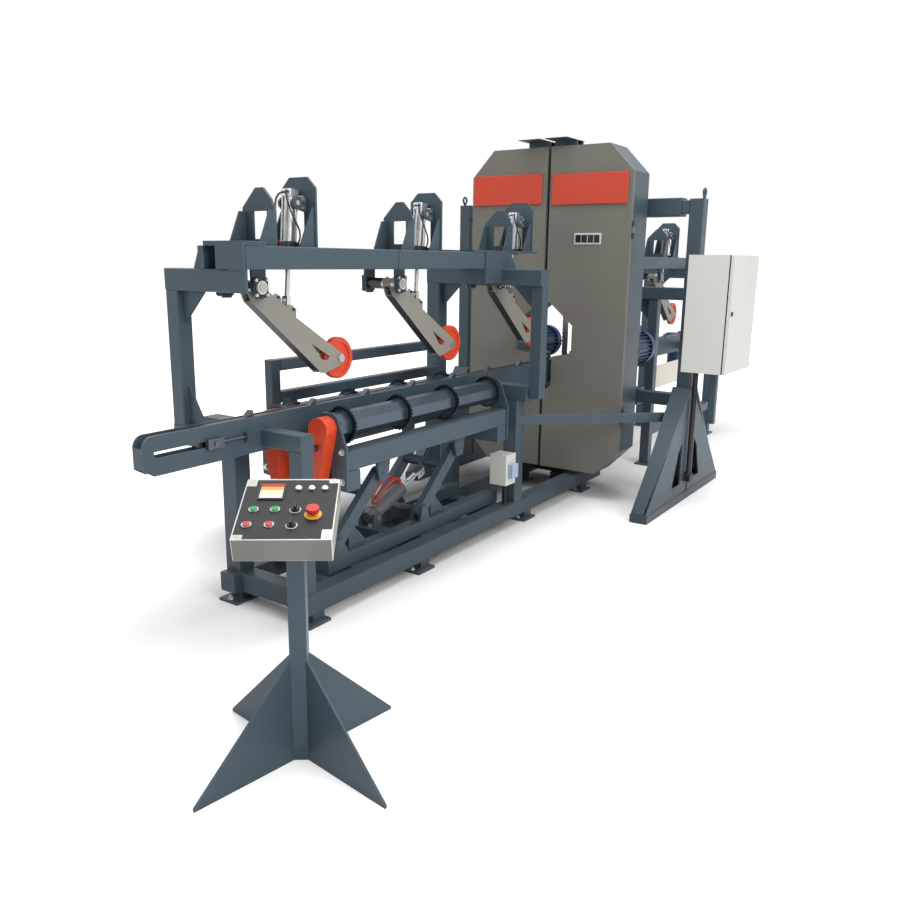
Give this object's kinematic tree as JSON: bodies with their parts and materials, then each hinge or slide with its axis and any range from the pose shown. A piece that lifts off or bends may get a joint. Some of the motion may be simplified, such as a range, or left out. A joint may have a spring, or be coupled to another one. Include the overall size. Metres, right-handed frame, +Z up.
{
  "type": "twin vertical resaw",
  "caption": "Floor-standing twin vertical band resaw with chain infeed, log turner, hold-down wheels, gantry, electrical enclosure and separate operator console.",
  "frame": {"origin": "on the floor, on the feed centreline, in the plane of the gantry columns, at the middle of the central sole under the base rails", "axes": "+X is the feed direction, +Y points to the far side away from the operator, +Z is up"},
  "size_m": [7.3404, 2.4386, 2.542],
  "materials": {
    "frame_paint": "satin",
    "cabinet_paint": "satin",
    "arm_paint": "satin",
    "orange_paint": "satin",
    "pale_paint": "satin",
    "blue_paint": "satin",
    "steel": "brushed",
    "chain_steel": "oiled",
    "console_steel": "brushed",
    "black_plastic": "matt",
    "green_plastic": "gloss",
    "red_plastic": "gloss",
    "cylinder_alloy": "satin",
    "pale_plastic": "matt"
  },
  "bodies": {
    "base": {"console_box": "console_steel", "console_pedestal": "frame_paint", "electric_enclosure": "pale_paint", "feed_chain": "chain_steel", "feed_gearmotor": "blue_paint", "hold_down_frame": "frame_paint", "infeed_base_frame": "frame_paint", "infeed_conveyor_bed": "frame_paint", "junction_box": "pale_plastic", "outfeed_conveyor_bed": "frame_paint", "outfeed_frame": "frame_paint", "saw_gantry": "frame_paint", "turner_subframe": "frame_paint"},
    "hold_down_arm_1": {"hold_down_arm_1": "arm_paint"},
    "hold_down_wheel_1": {"hold_down_wheel_1": "orange_paint"},
    "hold_down_cylinder_1": {"hold_down_cylinder_1": "cylinder_alloy"},
    "hold_down_rod_1": {"hold_down_rod_1": "steel"},
    "hold_down_arm_2": {"hold_down_arm_2": "arm_paint"},
    "hold_down_wheel_2": {"hold_down_wheel_2": "orange_paint"},
    "hold_down_cylinder_2": {"hold_down_cylinder_2": "cylinder_alloy"},
    "hold_down_rod_2": {"hold_down_rod_2": "steel"},
    "hold_down_arm_3": {"hold_down_arm_3": "arm_paint"},
    "hold_down_wheel_3": {"hold_down_wheel_3": "orange_paint"},
    "hold_down_cylinder_3": {"hold_down_cylinder_3": "cylinder_alloy"},
    "hold_down_rod_3": {"hold_down_rod_3": "steel"},
    "hold_down_arm_4": {"hold_down_arm_4": "arm_paint"},
    "hold_down_wheel_4": {"hold_down_wheel_4": "orange_paint"},
    "hold_down_cylinder_4": {"hold_down_cylinder_4": "cylinder_alloy"},
    "hold_down_rod_4": {"hold_down_rod_4": "steel"},
    "turner_front_links": {"turner_front_links": "frame_paint"},
    "turner_rear_links": {"turner_rear_links": "frame_paint"},
    "turner_carriage": {"turner_carriage": "frame_paint", "turner_chain_guards": "orange_paint", "turner_gearmotor": "blue_paint"},
    "near_log_roller": {"near_log_roller": "steel"},
    "far_log_roller": {"far_log_roller": "steel"},
    "turner_lift_cylinder": {"turner_lift_cylinder": "frame_paint"},
    "turner_lift_rod": {"turner_lift_rod": "steel"},
    "head_sprocket": {"head_sprocket": "steel"},
    "tail_sprocket": {"tail_sprocket": "steel"},
    "near_saw": {"near_saw_frame": "cabinet_paint", "near_band_blade": "steel", "near_saw_motor": "blue_paint"},
    "near_saw_door": {"near_saw_door": "cabinet_paint"},
    "near_lower_band_wheel": {"near_lower_band_wheel": "steel"},
    "near_upper_band_wheel": {"near_upper_band_wheel": "steel"},
    "far_saw": {"far_saw_frame": "cabinet_paint", "far_band_blade": "steel", "far_saw_motor": "blue_paint"},
    "far_saw_door": {"far_saw_door": "cabinet_paint"},
    "far_lower_band_wheel": {"far_lower_band_wheel": "steel"},
    "far_upper_band_wheel": {"far_upper_band_wheel": "steel"},
    "enclosure_door": {"enclosure_door": "pale_paint"},
    "green_button_1": {"green_button_1": "green_plastic"},
    "green_button_2": {"green_button_2": "green_plastic"},
    "red_button_1": {"red_button_1": "red_plastic"},
    "red_button_2": {"red_button_2": "red_plastic"},
    "emergency_stop": {"emergency_stop": "red_plastic"},
    "selector_switch_1": {"selector_switch_1": "black_plastic"},
    "selector_switch_2": {"selector_switch_2": "black_plastic"}
  },
  "joints": [
    {"name": "arm_1_swing", "type": "hinge", "parent": "base", "child": "hold_down_arm_1", "pos_m": [-3.272, 0, 1.586], "axis": [0, -1, 0], "range_deg": [-8, 10]},
    {"name": "wheel_1_spin", "type": "hinge", "parent": "hold_down_arm_1", "child": "hold_down_wheel_1", "pos_m": [-2.69046, 0, 1.21837], "axis": [0, 1, 0], "continuous": true},
    {"name": "cylinder_1_swing", "type": "hinge", "parent": "base", "child": "hold_down_cylinder_1", "pos_m": [-2.996, 0, 1.965], "axis": [0, -1, 0], "range_deg": [-1.54, 1.85]},
    {"name": "rod_1_travel", "type": "slide", "parent": "hold_down_cylinder_1", "child": "hold_down_rod_1", "axis": [-0.0854, 0, -0.9963], "range_m": [-0.04348, 0.03499]},
    {"name": "arm_2_swing", "type": "hinge", "parent": "base", "child": "hold_down_arm_2", "pos_m": [-2.246, 0, 1.586], "axis": [0, -1, 0], "range_deg": [-8, 10]},
    {"name": "wheel_2_spin", "type": "hinge", "parent": "hold_down_arm_2", "child": "hold_down_wheel_2", "pos_m": [-1.66446, 0, 1.21837], "axis": [0, 1, 0], "continuous": true},
    {"name": "cylinder_2_swing", "type": "hinge", "parent": "base", "child": "hold_down_cylinder_2", "pos_m": [-1.97, 0, 1.965], "axis": [0, -1, 0], "range_deg": [-1.54, 1.85]},
    {"name": "rod_2_travel", "type": "slide", "parent": "hold_down_cylinder_2", "child": "hold_down_rod_2", "axis": [-0.0854, 0, -0.9963], "range_m": [-0.04348, 0.03499]},
    {"name": "arm_3_swing", "type": "hinge", "parent": "base", "child": "hold_down_arm_3", "pos_m": [-1.178, 0, 1.586], "axis": [0, -1, 0], "range_deg": [-8, 10]},
    {"name": "wheel_3_spin", "type": "hinge", "parent": "hold_down_arm_3", "child": "hold_down_wheel_3", "pos_m": [-0.59646, 0, 1.21837], "axis": [0, 1, 0], "continuous": true},
    {"name": "cylinder_3_swing", "type": "hinge", "parent": "base", "child": "hold_down_cylinder_3", "pos_m": [-0.902, 0, 1.965], "axis": [0, -1, 0], "range_deg": [-1.54, 1.85]},
    {"name": "rod_3_travel", "type": "slide", "parent": "hold_down_cylinder_3", "child": "hold_down_rod_3", "axis": [-0.0854, 0, -0.9963], "range_m": [-0.04348, 0.03499]},
    {"name": "arm_4_swing", "type": "hinge", "parent": "base", "child": "hold_down_arm_4", "pos_m": [1.726, 0, 1.586], "axis": [0, -1, 0], "range_deg": [-8, 10]},
    {"name": "wheel_4_spin", "type": "hinge", "parent": "hold_down_arm_4", "child": "hold_down_wheel_4", "pos_m": [2.30754, 0, 1.21837], "axis": [0, 1, 0], "continuous": true},
    {"name": "cylinder_4_swing", "type": "hinge", "parent": "base", "child": "hold_down_cylinder_4", "pos_m": [2.002, 0, 1.965], "axis": [0, -1, 0], "range_deg": [-1.54, 1.85]},
    {"name": "rod_4_travel", "type": "slide", "parent": "hold_down_cylinder_4", "child": "hold_down_rod_4", "axis": [-0.0854, 0, -0.9963], "range_m": [-0.04348, 0.03499]},
    {"name": "turner_lift", "type": "hinge", "parent": "base", "child": "turner_front_links", "pos_m": [-2.895, 0, 0.29], "axis": [0, -1, 0], "range_deg": [0, 11]},
    {"name": "rear_link_swing", "type": "hinge", "parent": "base", "child": "turner_rear_links", "pos_m": [-2.165, 0, 0.29], "axis": [0, -1, 0], "range_deg": [-0.2, 11.2]},
    {"name": "carriage_level", "type": "hinge", "parent": "turner_front_links", "child": "turner_carriage", "pos_m": [-2.55315, 0, 0.5978], "axis": [0, -1, 0], "range_deg": [-11.2, 0.2]},
    {"name": "near_roller_turn", "type": "hinge", "parent": "turner_carriage", "child": "near_log_roller", "pos_m": [-2.2, -0.17, 0.91], "axis": [1, 0, 0], "continuous": true},
    {"name": "far_roller_turn", "type": "hinge", "parent": "turner_carriage", "child": "far_log_roller", "pos_m": [-2.2, 0.17, 0.91], "axis": [1, 0, 0], "continuous": true},
    {"name": "lift_cylinder_swing", "type": "hinge", "parent": "base", "child": "turner_lift_cylinder", "pos_m": [-2.435, 0, 0.3], "axis": [0, -1, 0], "range_deg": [-0.2, 5.67]},
    {"name": "lift_rod_travel", "type": "slide", "parent": "turner_lift_cylinder", "child": "turner_lift_rod", "axis": [0.9427, 0, 0.3337], "range_m": [-0.02196, 0.001]},
    {"name": "head_sprocket_turn", "type": "hinge", "parent": "base", "child": "head_sprocket", "pos_m": [2.76, 0, 0.92], "axis": [0, 1, 0], "continuous": true},
    {"name": "tail_sprocket_turn", "type": "hinge", "parent": "base", "child": "tail_sprocket", "pos_m": [-3.54, 0, 0.92], "axis": [0, 1, 0], "continuous": true},
    {"name": "near_saw_shift", "type": "slide", "parent": "base", "child": "near_saw", "axis": [0, -1, 0], "range_m": [0, 0.045]},
    {"name": "near_door_swing", "type": "hinge", "parent": "near_saw", "child": "near_saw_door", "pos_m": [-0.3955, -0.646, 0], "axis": [0, 0, 1], "range_deg": [0, 55]},
    {"name": "near_lower_wheel_turn", "type": "hinge", "parent": "near_saw", "child": "near_lower_band_wheel", "pos_m": [-0.285, -0.35, 0.507], "axis": [1, 0, 0], "continuous": true},
    {"name": "near_upper_wheel_turn", "type": "hinge", "parent": "near_saw", "child": "near_upper_band_wheel", "pos_m": [-0.285, -0.35, 2.19], "axis": [1, 0, 0], "continuous": true},
    {"name": "far_saw_shift", "type": "slide", "parent": "base", "child": "far_saw", "axis": [0, 1, 0], "range_m": [0, 0.045]},
    {"name": "far_door_swing", "type": "hinge", "parent": "far_saw", "child": "far_saw_door", "pos_m": [-0.3955, 0.646, 0], "axis": [0, 0, -1], "range_deg": [0, 55]},
    {"name": "far_lower_wheel_turn", "type": "hinge", "parent": "far_saw", "child": "far_lower_band_wheel", "pos_m": [-0.285, 0.35, 0.507], "axis": [1, 0, 0], "continuous": true},
    {"name": "far_upper_wheel_turn", "type": "hinge", "parent": "far_saw", "child": "far_upper_band_wheel", "pos_m": [-0.285, 0.35, 2.19], "axis": [1, 0, 0], "continuous": true},
    {"name": "enclosure_door_swing", "type": "hinge", "parent": "base", "child": "enclosure_door", "pos_m": [0.302, -1.2905, 0], "axis": [0, 0, 1], "range_deg": [0, 110]},
    {"name": "green_button_1_press", "type": "slide", "parent": "base", "child": "green_button_1", "axis": [0.2472, 0.1854, -0.9511], "range_m": [0, 0.003], "stiffness_N_per_m": 900, "springref_m": -0.001},
    {"name": "green_button_2_press", "type": "slide", "parent": "base", "child": "green_button_2", "axis": [0.2472, 0.1854, -0.9511], "range_m": [0, 0.003], "stiffness_N_per_m": 900, "springref_m": -0.001},
    {"name": "red_button_1_press", "type": "slide", "parent": "base", "child": "red_button_1", "axis": [0.2472, 0.1854, -0.9511], "range_m": [0, 0.003], "stiffness_N_per_m": 900, "springref_m": -0.001},
    {"name": "red_button_2_press", "type": "slide", "parent": "base", "child": "red_button_2", "axis": [0.2472, 0.1854, -0.9511], "range_m": [0, 0.003], "stiffness_N_per_m": 900, "springref_m": -0.001},
    {"name": "emergency_stop_press", "type": "slide", "parent": "base", "child": "emergency_stop", "axis": [0.2472, 0.1854, -0.9511], "range_m": [0, 0.004], "stiffness_N_per_m": 900, "springref_m": -0.001},
    {"name": "selector_switch_1_turn", "type": "hinge", "parent": "base", "child": "selector_switch_1", "pos_m": [-4.12421, -1.10491, 0.95391], "axis": [-0.2472, -0.1854, 0.9511], "range_deg": [-45, 45]},
    {"name": "selector_switch_2_turn", "type": "hinge", "parent": "base", "child": "selector_switch_2", "pos_m": [-4.1878, -1.1501, 0.92857], "axis": [-0.2472, -0.1854, 0.9511], "range_deg": [-45, 45]}
  ],
  "couplings": [
    {"joint": "cylinder_1_swing", "follows": "arm_1_swing", "ratio": 0.15535},
    {"joint": "rod_1_travel", "follows": "arm_1_swing", "m_per_rad": -0.24341},
    {"joint": "cylinder_2_swing", "follows": "arm_2_swing", "ratio": 0.15535},
    {"joint": "rod_2_travel", "follows": "arm_2_swing", "m_per_rad": -0.24341},
    {"joint": "cylinder_3_swing", "follows": "arm_3_swing", "ratio": 0.15535},
    {"joint": "rod_3_travel", "follows": "arm_3_swing", "m_per_rad": -0.24341},
    {"joint": "cylinder_4_swing", "follows": "arm_4_swing", "ratio": 0.15535},
    {"joint": "rod_4_travel", "follows": "arm_4_swing", "m_per_rad": -0.24341},
    {"joint": "rear_link_swing", "follows": "turner_lift", "ratio": 1},
    {"joint": "carriage_level", "follows": "turner_lift", "ratio": -1},
    {"joint": "far_roller_turn", "follows": "near_roller_turn", "ratio": 1},
    {"joint": "lift_cylinder_swing", "follows": "turner_lift", "ratio": 0.48862},
    {"joint": "lift_rod_travel", "follows": "turner_lift", "m_per_rad": -0.10918},
    {"joint": "tail_sprocket_turn", "follows": "head_sprocket_turn", "ratio": 1},
    {"joint": "near_upper_wheel_turn", "follows": "near_lower_wheel_turn", "ratio": 1},
    {"joint": "far_upper_wheel_turn", "follows": "far_lower_wheel_turn", "ratio": 1}
  ]
}
